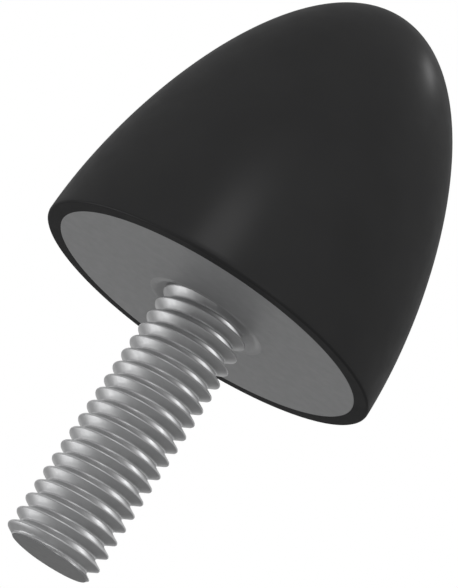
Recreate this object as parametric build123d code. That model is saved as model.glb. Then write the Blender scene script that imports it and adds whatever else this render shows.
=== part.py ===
from build123d import *
import os

# Rubber buffer: a bullet-shaped rubber body, moulded round a steel disc that carries a threaded stud.
# Millimetres. The origin is the centre of the disc's seat face, which bears on the machine.
# +Z points to the rubber nose, and the stud hangs down -Z.

# Rubber body. Its flank is one cubic curve that leaves the foot straight up and meets the nose level,
# and the two handles set how full the curve is at each end.
body_d = 30.0  # across the foot
body_h = 30.0  # from the seat plane to the tip of the nose
foot_handle = 12.8  # straight up from the foot
nose_handle = 8.9  # straight out from the tip
foot_edge = 0.15  # broken edge at the mould's parting line

# Base plate, a stamped disc that lies level with the rubber rim round it
rim_w = 1.3  # rubber left round the plate's edge
plate_d = body_d - 2 * rim_w
plate_t = 2.0
plate_edge = 0.5  # on the rubber side only, so that the steel doesn't cut into the rubber

# Stud, with an M8 x 1.25 thread over its whole length, drawn at the thread's major diameter
stud_d = 8.0
stud_l = 23.0  # from the seat plane to the tip
tip_edge = 0.5  # lead-in for the nut
root_w = 1.2  # how far the shank flares out at the seat face
root_h = 0.3  # and how far down, low enough for the mating hole's broken edge
collar_d = stud_d + 2 * root_w  # pressed into the plate's punched hole
head_d = 15.0  # flat head behind the plate, bedded in the rubber
head_t = 2.5
head_edge = 0.5

UPWARD = (Align.CENTER, Align.CENTER, Align.MIN)
DOWNWARD = (Align.CENTER, Align.CENTER, Align.MAX)


def upper_rim(solid):
    """The circular edges at the solid's top."""
    return solid.edges().filter_by(GeomType.CIRCLE).group_by(Axis.Z)[-1]


def lower_rim(solid):
    """The circular edges at the solid's bottom."""
    return solid.edges().filter_by(GeomType.CIRCLE).group_by(Axis.Z)[0]


def moulded_blank():
    """The rubber's outside, before the metal parts take their place in it."""
    foot = (body_d / 2, 0)
    tip = (0, body_h)
    with BuildPart() as blank:
        with BuildSketch(Plane.XZ):
            with BuildLine():
                Bezier(foot, (body_d / 2, foot_handle), (nose_handle, body_h), tip)
                Polyline(tip, (0, 0), foot)
            make_face()
        revolve(axis=Axis.Z)
        chamfer(blank.edges().filter_by(GeomType.CIRCLE), foot_edge)
    return blank.part


def stamped_disc():
    """The plate before its hole is punched."""
    disc = Cylinder(plate_d / 2, plate_t, align=UPWARD)
    return chamfer(upper_rim(disc), plate_edge)


def collar():
    """The stud's short neck, which fills the hole in the plate."""
    return Cylinder(collar_d / 2, plate_t, align=UPWARD)


def flat_head():
    """The stud's head behind the plate."""
    head = Pos(0, 0, plate_t) * Cylinder(head_d / 2, head_t, align=UPWARD)
    return chamfer(upper_rim(head), head_edge)


def flared_root():
    """The shank's hollow flare into the collar, which ends level with the seat face."""
    collar_r = collar_d / 2
    with BuildPart() as root:
        with BuildSketch(Plane.XZ):
            with BuildLine():
                flare = EllipticalCenterArc((collar_r, -root_h), root_w, root_h, start_angle=90, arc_size=90)
                Polyline(flare @ 1, (0, -root_h), (0, 0), flare @ 0)
            make_face()
        revolve(axis=Axis.Z)
    return root.part


def headed_stud():
    """Head, collar, root and shank, formed from one blank."""
    shank = Cylinder(stud_d / 2, stud_l, align=DOWNWARD)
    return flat_head() + collar() + flared_root() + chamfer(lower_rim(shank), tip_edge)


base_plate = stamped_disc() - collar()
threaded_stud = headed_stud()
rubber_body = moulded_blank() - stamped_disc() - flat_head()

nodes = {
    "rubber_body": rubber_body,
    "base_plate": base_plate,
    "threaded_stud": threaded_stud,
}
os.makedirs("parts", exist_ok=True)
for name, solid in nodes.items():
    export_step(solid, f"parts/{name}.step")
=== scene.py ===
"""Looks of the rubber buffer: moulded rubber, seat plate and threaded stud, in a plain white studio.

Sizes are in millimetres and angles in degrees. Each mesh is modelled in millimetres and turned to metres
when it is finished. The outer sizes come from the frame, so that the pieces fit the solids they replace.
"""

import logging
import math
from collections.abc import Iterable
from dataclasses import dataclass, field
from enum import Enum

import bmesh
import bpy
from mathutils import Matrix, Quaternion, Vector
from mathutils.geometry import interpolate_bezier


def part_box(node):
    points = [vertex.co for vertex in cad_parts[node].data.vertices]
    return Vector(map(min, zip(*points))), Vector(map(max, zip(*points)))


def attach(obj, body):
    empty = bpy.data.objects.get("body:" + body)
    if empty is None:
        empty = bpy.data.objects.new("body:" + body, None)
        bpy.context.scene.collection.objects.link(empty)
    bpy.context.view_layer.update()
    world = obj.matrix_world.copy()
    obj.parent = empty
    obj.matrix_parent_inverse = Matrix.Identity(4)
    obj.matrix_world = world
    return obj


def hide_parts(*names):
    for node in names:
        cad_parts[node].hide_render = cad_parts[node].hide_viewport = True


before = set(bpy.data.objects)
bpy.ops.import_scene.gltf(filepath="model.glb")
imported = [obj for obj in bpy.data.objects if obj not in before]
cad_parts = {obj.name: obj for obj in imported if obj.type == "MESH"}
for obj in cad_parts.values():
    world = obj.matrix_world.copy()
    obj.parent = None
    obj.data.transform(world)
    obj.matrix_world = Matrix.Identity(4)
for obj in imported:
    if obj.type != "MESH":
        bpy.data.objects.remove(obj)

log = logging.getLogger("rubber_buffer")

MM = 0.001
WELD = 0.0005  # vertices nearer than this are one
SNAP = 0.00005  # how near a cut a vertex counts as lying on it
FLAT = 0.001  # how far a vertex may be from a level or a radius that it counts as lying on
TURN = 2 * math.pi
NOISE_LOW, NOISE_HIGH = 0.3, 0.7  # most of a noise lies between these

Point = tuple[float, float]  # radius and height
Colour = tuple[float, float, float]
Outline = list[bmesh.types.BMVert | bmesh.types.BMEdge]


class Slot(Enum):
    """The record's material slots."""

    RUBBER = "rubber"
    ZINC = "zinc_plated_steel"


class Hand(Enum):
    """Which way a thread climbs, as the sign of its rise for a turn from +X to +Y."""

    RIGHT = 1
    LEFT = -1


class Drop(Enum):
    """What a level cut throws away, as the sign of its side."""

    ABOVE = 1
    BELOW = -1
    NOTHING = 0


def node_corner(node: str) -> Vector:
    """The highest corner of a solid in the frame, in millimetres."""
    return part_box(node)[1] / MM


def node_floor(node: str) -> float:
    """The lowest level of a solid in the frame, in millimetres."""
    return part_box(node)[0].z / MM


class Graph:
    """The node tree of a material or of the world."""

    def __init__(self, owner: bpy.types.ID) -> None:
        """Starts an empty tree.

        Args:
            owner: The material or world that the tree belongs to.
        """
        owner.use_nodes = True
        self.tree = owner.node_tree
        self.tree.nodes.clear()

    def add(self, kind: str, **inputs: object) -> bpy.types.Node:
        """Adds a node.

        Args:
            kind: The node's type name.
            **inputs: Values for its sockets, or sockets to link to them, with _ for a space in a name.

        Returns:
            The new node.
        """
        node = self.tree.nodes.new(kind)
        for name, value in inputs.items():
            self.feed(node, name.replace("_", " "), value)
        return node

    def feed(self, node: bpy.types.Node, socket: str | int, value: object) -> None:
        """Sets a socket, or links it.

        Args:
            node: The node that has the socket.
            socket: The socket's name or number.
            value: A plain value, or another node's output socket.
        """
        if isinstance(value, bpy.types.NodeSocket):
            self.tree.links.new(value, node.inputs[socket])
        else:
            node.inputs[socket].default_value = value

    def calculate(self, operation: str, *terms: object) -> bpy.types.NodeSocket:
        """Adds a calculation.

        Args:
            operation: What the node works out, such as MULTIPLY.
            *terms: Its values or sockets, in order.

        Returns:
            The result's socket.
        """
        node = self.tree.nodes.new("ShaderNodeMath")
        node.operation = operation
        for place, term in enumerate(terms):
            self.feed(node, place, term)
        return node.outputs[0]

    def noise(self, grain: float, detail: float = 2.0, roughness: float = 0.5) -> bpy.types.NodeSocket:
        """Adds noise that is fixed to the piece.

        Args:
            grain: Size of its largest patches, in millimetres.
            detail: How many finer layers it has.
            roughness: How strong the finer layers are.

        Returns:
            The noise, from 0 to 1 with its middle at 0.5.
        """
        place = self.add("ShaderNodeTexCoord")
        node = self.add(
            "ShaderNodeTexNoise",
            Vector=place.outputs["Object"],
            Scale=1 / (grain * MM),
            Detail=detail,
            Roughness=roughness,
        )
        return node.outputs[0]

    def spread(self, source: bpy.types.NodeSocket, low: float, high: float) -> bpy.types.NodeSocket:
        """Maps the middle of a noise to a range of values.

        Args:
            source: The noise.
            low: Value where the noise is low.
            high: Value where the noise is high.

        Returns:
            The mapped value.
        """
        node = self.add(
            "ShaderNodeMapRange",
            Value=source,
            From_Min=NOISE_LOW,
            From_Max=NOISE_HIGH,
            To_Min=low,
            To_Max=high,
        )
        return node.outputs[0]

    def tone(self, source: bpy.types.NodeSocket, dark: Colour, light: Colour) -> bpy.types.NodeSocket:
        """Colours a noise.

        Args:
            source: The noise.
            dark: Colour where the noise is low.
            light: Colour where the noise is high.

        Returns:
            The colour's socket.
        """
        ramp = self.add("ShaderNodeValToRGB", Fac=source)
        first, last = ramp.color_ramp.elements
        first.position, first.color = NOISE_LOW, (*dark, 1.0)
        last.position, last.color = NOISE_HIGH, (*light, 1.0)
        return ramp.outputs[0]


@dataclass(frozen=True)
class RubberFinish:
    """Black rubber as it leaves a smooth mould: an even satin with a very fine grain under a waxy film."""

    name: str = "moulded_black_rubber"
    dark: Colour = (0.0250, 0.0250, 0.0255)
    light: Colour = (0.0290, 0.0290, 0.0295)
    roughness: tuple[float, float] = (0.50, 0.60)
    specular: float = 0.01  # what the rubber itself mirrors
    bloom: float = 0.043  # and the waxy film, which gives it its sheen
    bloom_roughness: float = 0.30
    bloom_ior: float = 2.4
    bloom_grain: float = 6.0  # patches where the surface is a little greyer
    polish_grain: float = 1.6  # patches where it is a little duller
    skin_grain: float = 0.12
    skin_depth: float = 0.0020

    def material(self) -> bpy.types.Material:
        """Builds the finish."""
        made = bpy.data.materials.new(self.name)
        graph = Graph(made)
        bump = graph.add(
            "ShaderNodeBump", Height=graph.noise(self.skin_grain, detail=3.0), Distance=self.skin_depth * MM
        )
        shader = graph.add(
            "ShaderNodeBsdfPrincipled",
            Base_Color=graph.tone(graph.noise(self.bloom_grain), self.dark, self.light),
            Roughness=graph.spread(graph.noise(self.polish_grain), *self.roughness),
            Normal=bump.outputs[0],
        )
        graph.feed(shader, "Coat Normal", bump.outputs[0])
        shader.inputs["Specular IOR Level"].default_value = self.specular
        shader.inputs["Coat Weight"].default_value = self.bloom
        shader.inputs["Coat Roughness"].default_value = self.bloom_roughness
        shader.inputs["Coat IOR"].default_value = self.bloom_ior
        graph.add("ShaderNodeOutputMaterial", Surface=shader.outputs[0])
        return made


@dataclass(frozen=True)
class ZincFinish:
    """Zinc plating on steel: a satin grey with a faint cloud and a fine pitting."""

    name: str
    dark: Colour
    light: Colour
    roughness: tuple[float, float]
    metallic: float = 0.75  # the rest scatters light, as dull plating does
    cloud_grain: float = 1.1
    polish_grain: float = 0.5
    pit_grain: float = 0.07
    pit_depth: float = 0.0005
    painted_shade_below: float = -math.inf  # level under which the colour is darkened, as painted shade on the stud's flat end
    end_painted_shade: float = 0.52  # share of the colour kept on that end: painted shade

    def colour(self, graph: Graph) -> bpy.types.NodeSocket:
        """Mixes the plating's colour.

        Args:
            graph: The material's nodes.

        Returns:
            The colour's socket.
        """
        plating = graph.tone(graph.noise(self.cloud_grain, detail=3.0), self.dark, self.light)
        if self.painted_shade_below == -math.inf:
            return plating
        # Painted shade: below the level the plating's colour is scaled down, which darkens the stud's
        # downward-facing flat end.
        place = graph.add("ShaderNodeTexCoord")
        level = graph.add("ShaderNodeSeparateXYZ", Vector=place.outputs["Object"])
        above = graph.calculate("GREATER_THAN", level.outputs["Z"], self.painted_shade_below * MM)
        shade = graph.add("ShaderNodeMapRange", Value=above, To_Min=self.end_painted_shade)
        shaded = graph.add("ShaderNodeVectorMath")
        shaded.operation = "SCALE"
        graph.feed(shaded, "Vector", plating)
        graph.feed(shaded, "Scale", shade.outputs[0])
        return shaded.outputs[0]

    def material(self) -> bpy.types.Material:
        """Builds the finish."""
        made = bpy.data.materials.new(self.name)
        graph = Graph(made)
        bump = graph.add(
            "ShaderNodeBump", Height=graph.noise(self.pit_grain, detail=2.0), Distance=self.pit_depth * MM
        )
        shader = graph.add(
            "ShaderNodeBsdfPrincipled",
            Base_Color=self.colour(graph),
            Roughness=graph.spread(graph.noise(self.polish_grain), *self.roughness),
            Metallic=self.metallic,
            Normal=bump.outputs[0],
        )
        graph.add("ShaderNodeOutputMaterial", Surface=shader.outputs[0])
        return made


SHADED_END_SKIN = 0.01  # depth of the stud's flat end that gets the painted shade
# Painted shade: the plate's zinc has a darker colour than the stud's, standing in for the shade on its
# face. Its rougher range is the plate's own.
STAMPED_ZINC_SHADED = ZincFinish(
    name="stamped_zinc_shaded",
    dark=(0.330, 0.332, 0.336),
    light=(0.365, 0.367, 0.371),
    roughness=(0.44, 0.50),
)
# The stud's zinc carries painted shade on its flat end.
ROLLED_ZINC = ZincFinish(
    name="rolled_zinc",
    dark=(0.384, 0.386, 0.390),
    light=(0.422, 0.424, 0.428),
    roughness=(0.40, 0.46),
    painted_shade_below=node_floor("threaded_stud") + SHADED_END_SKIN,
)


def draw_outline(bm: bmesh.types.BMesh, points: Iterable[Point], closed: bool = False) -> Outline:
    """Draws an outline in the XZ plane.

    Args:
        bm: The mesh that it is drawn in.
        points: Radius and height of each corner.
        closed: True if the last corner joins the first.

    Returns:
        Its vertices and edges.
    """
    verts = [bm.verts.new((radius, 0.0, height)) for radius, height in points]
    pairs = list(zip(verts, verts[1:]))
    if closed:
        pairs.append((verts[-1], verts[0]))
    return verts + [bm.edges.new(pair) for pair in pairs]


def turn(bm: bmesh.types.BMesh, outline: Outline, steps: int) -> None:
    """Spins an outline once round the Z axis and closes its poles.

    Args:
        bm: The mesh that holds it.
        outline: The outline's vertices and edges.
        steps: Faces round the axis.
    """
    bmesh.ops.spin(
        bm, geom=outline, cent=(0, 0, 0), axis=(0, 0, 1), angle=TURN, steps=steps, use_merge=True
    )
    bmesh.ops.remove_doubles(bm, verts=bm.verts, dist=WELD)


def cut_level(bm: bmesh.types.BMesh, level: float, drop: Drop = Drop.NOTHING) -> None:
    """Cuts a mesh at a level.

    Args:
        bm: The mesh.
        level: Where it is cut.
        drop: What is thrown away.
    """
    bmesh.ops.bisect_plane(
        bm, geom=[*bm.verts, *bm.edges, *bm.faces], dist=SNAP,
        plane_co=(0, 0, level), plane_no=(0, 0, drop.value or 1), clear_outer=drop is not Drop.NOTHING,
    )


def join(bm: bmesh.types.BMesh, other: bmesh.types.BMesh) -> None:
    """Adds another mesh's faces.

    Args:
        bm: The mesh that gets them.
        other: The mesh that they come from. It is freed.
    """
    carrier = bpy.data.meshes.new("carrier")
    other.to_mesh(carrier)
    other.free()
    bm.from_mesh(carrier)
    bpy.data.meshes.remove(carrier)


def ring_edges(bm: bmesh.types.BMesh, radius: float, height: float) -> list[bmesh.types.BMEdge]:
    """The edges of one circle.

    Args:
        bm: The mesh that is searched.
        radius: The circle's radius.
        height: Its level.

    Returns:
        The edges whose ends both lie on it.
    """
    def on_ring(vert: bmesh.types.BMVert) -> bool:
        """True if a vertex lies on the circle."""
        return abs(vert.co.z - height) < FLAT and abs(vert.co.xy.length - radius) < FLAT

    return [edge for edge in bm.edges if all(on_ring(vert) for vert in edge.verts)]


def break_edges(bm: bmesh.types.BMesh, edges: list[bmesh.types.BMEdge], size: float, segments: int) -> None:
    """Chamfers or rounds edges.

    Args:
        bm: The mesh that holds them.
        edges: The edges.
        size: How far the new faces reach from each edge.
        segments: Faces across it: 1 makes a chamfer, and more of them a rounding.
    """
    bmesh.ops.bevel(
        bm, geom=edges, offset=size, offset_type="OFFSET", segments=segments, profile=0.5,
        affect="EDGES", clamp_overlap=True, material=-1,
    )


def finish_piece(
    bm: bmesh.types.BMesh, node: str, material: bpy.types.Material, soft: float = 32.0
) -> bpy.types.Object:
    """Turns a finished mesh into a piece that stands for its solid.

    Args:
        bm: The mesh, in millimetres. It is freed.
        node: Name of the solid that the piece replaces.
        material: Its finish.
        soft: Bend at an edge, in degrees, up to which it is shaded as rounded.

    Returns:
        The piece.
    """
    bmesh.ops.remove_doubles(bm, verts=bm.verts, dist=WELD)
    bmesh.ops.recalc_face_normals(bm, faces=bm.faces)
    for face in bm.faces:
        face.smooth = True
    lowest = min(vert.co.z for vert in bm.verts)
    for edge in bm.edges:
        # The piece's lowest face keeps a crisp rim.
        on_foot = all(vert.co.z < lowest + FLAT for vert in edge.verts)
        edge.smooth = edge.calc_face_angle(math.pi) < math.radians(soft) and not on_foot
    open_edges = sum(not edge.is_manifold for edge in bm.edges)
    triangles = len(bm.calc_loop_triangles())
    bmesh.ops.scale(bm, vec=(MM, MM, MM), verts=bm.verts)
    mesh = bpy.data.meshes.new(f"{node}_dressed")
    bm.to_mesh(mesh)
    bm.free()
    mesh.materials.append(material)
    piece = bpy.data.objects.new(mesh.name, mesh)
    bpy.context.scene.collection.objects.link(piece)
    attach(piece, "root")
    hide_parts(node)
    log.info("%s: %d triangles, %d open edges, finish %s", piece.name, triangles, open_edges, material.name)
    return piece


@dataclass
class SeatPlate:
    """The stamped disc, level with the rubber rim round it."""

    radius: float = field(default_factory=lambda: node_corner("base_plate").x)
    thickness: float = field(default_factory=lambda: node_corner("base_plate").z)
    rubber_edge: float = 0.5  # chamfer on the side that the rubber covers
    seat_edge: float = 0.05  # broken edge beside the rubber rim
    hole_radius: float = 5.2  # filled by the stud's collar
    steps: int = 192

    def side(self) -> list[Point]:
        """The corners of its outer side, from the seat face up, as the rubber meets them."""
        return [
            (self.radius, 0.0),
            (self.radius, self.thickness - self.rubber_edge),
            (self.radius - self.rubber_edge, self.thickness),
        ]

    def build(self, material: bpy.types.Material) -> bpy.types.Object:
        """Models the disc.

        Args:
            material: Its finish.

        Returns:
            The piece.
        """
        bm = bmesh.new()
        section = [*self.side(), (self.hole_radius, self.thickness), (self.hole_radius, 0.0)]
        turn(bm, draw_outline(bm, section, closed=True), self.steps)
        break_edges(bm, ring_edges(bm, self.radius, 0.0), self.seat_edge, segments=2)
        return finish_piece(bm, "base_plate", material)


@dataclass
class ScrewThread:
    """A metric thread with a flat crest and a flat root, both with narrow chamfers."""

    radius: float = 4.0
    pitch: float = 1.25
    hand: Hand = Hand.RIGHT
    flank_angle: float = 60.0  # between the two sides of a groove
    crest_share: float = 1 / 8  # width of the crest as a share of the pitch
    depth_share: float = 0.6134  # depth of the groove as a share of the pitch
    crest_edge: float = 0.05  # chamfer on both sides of the crest
    root_edge: float = 0.07  # and of the root
    groove: float = -1.123  # level of a groove's middle at the +X side
    steps: int = 96
    least_bend: float = 20.0  # of an edge that gets a chamfer
    least_round: float = 0.9  # share of such an edge's length that goes round the axis

    def section(self) -> list[Point]:
        """One pitch of the thread's outline, from the middle of a groove to the middle of the next."""
        crest = self.crest_share * self.pitch / 2
        depth = self.depth_share * self.pitch
        flank = depth * math.tan(math.radians(self.flank_angle / 2))
        root = self.radius - depth
        middle = self.pitch / 2
        return [
            (root, 0.0),
            (root, middle - crest - flank),
            (self.radius, middle - crest),
            (self.radius, middle + crest),
            (root, middle + crest + flank),
            (root, self.pitch),
        ]

    def along(self, edge: bmesh.types.BMEdge) -> bool:
        """True if an edge runs along the thread and not across it."""
        first, last = (vert.co for vert in edge.verts)
        middle = (first + last) / 2
        tangent = Vector((-middle.y, middle.x, 0.0)).normalized()
        return abs((last - first).normalized().dot(tangent)) > self.least_round

    def helix_edges(self, bm: bmesh.types.BMesh, low: float, high: float) -> list[bmesh.types.BMEdge]:
        """The edges along the thread between two radii.

        Args:
            bm: The mesh that is searched.
            low: Least radius.
            high: Greatest radius.

        Returns:
            The edges, apart from those between faces that lie in line.
        """
        return [
            edge
            for edge in bm.edges
            if low < edge.verts[0].co.xy.length < high
            and edge.calc_face_angle(0.0) > math.radians(self.least_bend)
            and self.along(edge)
        ]

    def wound(self, bottom: float, top: float) -> bmesh.types.BMesh:
        """Winds the thread and cuts it off level at both ends, which stay open.

        Args:
            bottom: Level of the lower cut.
            top: Level of the upper cut.

        Returns:
            The thread's faces.
        """
        bm = bmesh.new()
        start = self.groove + self.pitch * math.floor((bottom - self.groove) / self.pitch - 1)
        turns = math.ceil((top - start) / self.pitch) + 1
        outline = draw_outline(bm, [(radius, start + height) for radius, height in self.section()])
        rise = self.pitch * self.hand.value / self.steps
        bmesh.ops.spin(
            bm, geom=outline, cent=(0, 0, 0), axis=(0, 0, 1), angle=TURN, dvec=(0, 0, rise),
            steps=self.steps,
        )
        first_turn = [*bm.verts, *bm.edges, *bm.faces]
        for place in range(1, turns):
            copy = bmesh.ops.duplicate(bm, geom=first_turn)["geom"]
            moved = [part for part in copy if isinstance(part, bmesh.types.BMVert)]
            bmesh.ops.translate(bm, vec=(0, 0, self.pitch * place), verts=moved)
        bmesh.ops.remove_doubles(bm, verts=bm.verts, dist=WELD)
        bmesh.ops.recalc_face_normals(bm, faces=bm.faces)
        middle = self.radius - self.depth_share * self.pitch / 2
        break_edges(bm, self.helix_edges(bm, middle, self.radius + FLAT), self.crest_edge, segments=1)
        break_edges(bm, self.helix_edges(bm, 0.0, middle), self.root_edge, segments=1)
        cut_level(bm, top, Drop.ABOVE)
        cut_level(bm, bottom, Drop.BELOW)
        return bm


@dataclass
class ThreadedStud:
    """The stud: a flat head in the rubber, a collar with a shallow ring in its face, and the thread."""

    thread: ScrewThread = field(default_factory=ScrewThread)
    plate: SeatPlate = field(default_factory=SeatPlate)
    tip: float = field(default_factory=lambda: node_floor("threaded_stud"))
    head_radius: float = field(default_factory=lambda: node_corner("threaded_stud").x)
    head_top: float = field(default_factory=lambda: node_corner("threaded_stud").z)
    head_edge: float = 0.5
    tip_edge: float = 0.5
    ring_radius: float = 4.35  # of the ring round the thread, at its bottom
    ring_depth: float = 0.35  # behind the seat face, with a side that slopes at 45 degrees
    tip_cuts: int = 6  # levels at which the tip's chamfer follows the thread
    soft: float = 62.0  # bend up to which chamfers and flanks are shaded as one rounded form
    steps: int = 192

    def head(self) -> list[Point]:
        """The corners of the head from its top's middle outwards, as the rubber meets them."""
        return [
            (0.0, self.head_top),
            (self.head_radius - self.head_edge, self.head_top),
            (self.head_radius, self.head_top - self.head_edge),
            (self.head_radius, self.plate.thickness),
        ]

    def root(self) -> list[Point]:
        """The collar's face and the shallow ring in it, down to the ring's bottom."""
        mouth = self.ring_radius + self.ring_depth
        return [(self.plate.hole_radius, 0.0), (mouth, 0.0), (self.ring_radius, self.ring_depth)]

    def break_tip(self, bm: bmesh.types.BMesh) -> None:
        """Chamfers the thread's open lower end.

        Args:
            bm: The mesh that holds the thread.
        """
        for cut in range(1, self.tip_cuts + 1):
            cut_level(bm, self.tip + self.tip_edge * cut / self.tip_cuts)
        end_radius = self.thread.radius - self.tip_edge
        for vert in bm.verts:
            reach = end_radius + vert.co.z - self.tip
            if reach < min(self.thread.radius, vert.co.xy.length):
                vert.co.xy *= reach / vert.co.xy.length

    def build(self, material: bpy.types.Material) -> bpy.types.Object:
        """Models the stud.

        Args:
            material: Its finish.

        Returns:
            The piece.
        """
        collar = bmesh.new()
        section = [*self.head(), (self.plate.hole_radius, self.plate.thickness), *self.root()]
        turn(collar, draw_outline(collar, section), self.steps)
        bm = self.thread.wound(self.tip, self.ring_depth)
        self.break_tip(bm)
        at_tip = [edge for edge in bm.edges if edge.is_boundary and edge.verts[0].co.z < self.tip + FLAT]
        bmesh.ops.triangle_fill(bm, use_beauty=True, edges=at_tip)
        join(bm, collar)
        mouth = [edge for edge in bm.edges if edge.is_boundary]
        bmesh.ops.triangle_fill(bm, use_beauty=True, edges=mouth)
        return finish_piece(bm, "threaded_stud", material, soft=self.soft)


@dataclass
class MouldedRubber:
    """The bullet of rubber, with a pocket that is the negative of the metal in it."""

    stud: ThreadedStud = field(default_factory=ThreadedStud)
    radius: float = field(default_factory=lambda: node_corner("rubber_body").x)
    height: float = field(default_factory=lambda: node_corner("rubber_body").z)
    foot_handle: float = 12.8  # how strongly the flank's curve starts straight up from the foot
    nose_handle: float = 8.9  # and level from the tip
    foot_edge: float = 0.2
    flank_points: int = 65
    steps: int = 192

    def flank(self) -> list[Point]:
        """The outside from the tip down to the foot, as one cubic curve."""
        curve = interpolate_bezier(
            Vector((0.0, self.height)),
            Vector((self.nose_handle, self.height)),
            Vector((self.radius, self.foot_handle)),
            Vector((self.radius, 0.0)),
            self.flank_points,
        )
        return [(point.x, point.y) for point in curve]

    def build(self, material: bpy.types.Material) -> bpy.types.Object:
        """Models the rubber.

        Args:
            material: Its finish.

        Returns:
            The piece.
        """
        bm = bmesh.new()
        section = [*self.flank(), *self.stud.plate.side(), *reversed(self.stud.head())]
        turn(bm, draw_outline(bm, section), self.steps)
        break_edges(bm, ring_edges(bm, self.radius, 0.0), self.foot_edge, segments=3)
        return finish_piece(bm, "rubber_body", material)


@dataclass(frozen=True)
class SoftLamp:
    """A square lamp that faces the object."""

    name: str
    towards: tuple[float, float, float]  # direction from the object to the lamp
    distance: float
    size: float
    level: float  # what it adds on a white surface that faces it
    shadows: bool = True

    def build(self) -> None:
        """Hangs the lamp."""
        away = Vector(self.towards).normalized()
        light = bpy.data.lights.new(self.name, "AREA")
        light.shape = "SQUARE"
        light.size = self.size * MM
        # A square lamp of P watts adds P / (pi * distance)^2 on a white surface that faces it.
        light.energy = self.level * (math.pi * self.distance * MM) ** 2
        light.use_shadow = self.shadows
        lamp = bpy.data.objects.new(self.name, light)
        lamp.location = away * self.distance * MM
        lamp.rotation_mode = "QUATERNION"
        lamp.rotation_quaternion = away.to_track_quat("Z", "Y")
        lamp.visible_camera = False
        bpy.context.scene.collection.objects.link(lamp)
        log.info("%s: level %.3f", self.name, self.level)


@dataclass
class Studio:
    """A pale floor under a white sky, and the lamps."""

    floor_level: float = -260.0
    floor_size: float = 4000.0
    floor_colour: Colour = (0.58, 0.58, 0.58)
    sky_level: float = 0.45  # what the sky alone adds to a white surface
    lamps: tuple[SoftLamp, ...] = (
        SoftLamp("high_lamp", (0.349, 0.371, 0.861), 600.0, 60.0, 0.145, shadows=False),
        SoftLamp("front_lamp", (-0.31, -0.876, 0.369), 700.0, 240.0, 0.20),
        SoftLamp("left_lamp", (-0.728, 0.348, -0.586), 300.0, 120.0, 0.15, shadows=False),
        SoftLamp("low_lamp", (-0.63, 0.15, -0.76), 300.0, 120.0, 0.13, shadows=False),
        SoftLamp("fill_lamp", (0.30, -0.95, -0.10), 400.0, 200.0, 0.05),
    )

    def build_sky(self) -> None:
        """Makes the world: plain light, and pure white wherever it is seen or mirrored."""
        world = bpy.data.worlds.new("white_sky")
        bpy.context.scene.world = world
        graph = Graph(world)
        path = graph.add("ShaderNodeLightPath")
        seen = graph.calculate("MAXIMUM", path.outputs["Is Camera Ray"], path.outputs["Is Glossy Ray"])
        seen = graph.calculate("MAXIMUM", seen, path.outputs["Is Transmission Ray"])
        strength = graph.add("ShaderNodeMapRange", Value=seen, To_Min=self.sky_level)
        light = graph.add("ShaderNodeBackground", Color=(1, 1, 1, 1), Strength=strength.outputs[0])
        graph.add("ShaderNodeOutputWorld", Surface=light.outputs[0])

    def build_floor(self) -> None:
        """Lays the floor."""
        bm = bmesh.new()
        bmesh.ops.create_grid(bm, x_segments=1, y_segments=1, size=self.floor_size * MM / 2)
        bmesh.ops.translate(bm, vec=(0, 0, self.floor_level * MM), verts=bm.verts)
        mesh = bpy.data.meshes.new("studio_floor")
        bm.to_mesh(mesh)
        bm.free()
        paint = bpy.data.materials.new("floor_paint")
        graph = Graph(paint)
        shader = graph.add("ShaderNodeBsdfDiffuse", Color=(*self.floor_colour, 1.0))
        graph.add("ShaderNodeOutputMaterial", Surface=shader.outputs[0])
        mesh.materials.append(paint)
        floor = bpy.data.objects.new(mesh.name, mesh)
        bpy.context.scene.collection.objects.link(floor)

    def build(self) -> None:
        """Sets up sky, floor and lamps."""
        bpy.context.scene.view_settings.view_transform = "Standard"
        self.build_sky()
        self.build_floor()
        for lamp in self.lamps:
            lamp.build()


@dataclass
class PhotoCamera:
    """The camera, low in front of the part and rolled, so that it looks up at the seat face."""

    place: tuple[float, float, float] = (0.0, -209.797, -58.129)
    aim: tuple[float, float, float] = (0.5708, 0.0, 2.6161)  # in the middle of the picture
    roll: float = 33.325  # about the line of sight
    lens: float = 168.03
    sensor: float = 36.0  # along the picture's long side
    near: float = 10.0  # nearest that it sees

    def build(self) -> None:
        """Sets up the camera."""
        data = bpy.data.cameras.new("photo_camera")
        data.sensor_fit = "AUTO"
        data.sensor_width = self.sensor
        data.lens = self.lens
        data.clip_start = self.near * MM
        camera = bpy.data.objects.new(data.name, data)
        camera.location = Vector(self.place) * MM
        back = (Vector(self.place) - Vector(self.aim)).normalized()
        camera.rotation_mode = "QUATERNION"
        rolled = Quaternion((0, 0, 1), math.radians(self.roll))
        camera.rotation_quaternion = back.to_track_quat("Z", "Y") @ rolled
        bpy.context.scene.collection.objects.link(camera)
        bpy.context.scene.camera = camera


def main() -> None:
    """Builds the studio and the pieces."""
    logging.basicConfig(level=logging.INFO, format="%(message)s")
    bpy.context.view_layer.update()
    Studio().build()
    PhotoCamera().build()
    plate = SeatPlate()
    stud = ThreadedStud(plate=plate)
    plate.build(STAMPED_ZINC_SHADED.material())
    stud.build(ROLLED_ZINC.material())
    MouldedRubber(stud=stud).build(RubberFinish().material())


if __name__ == "__main__":
    main()
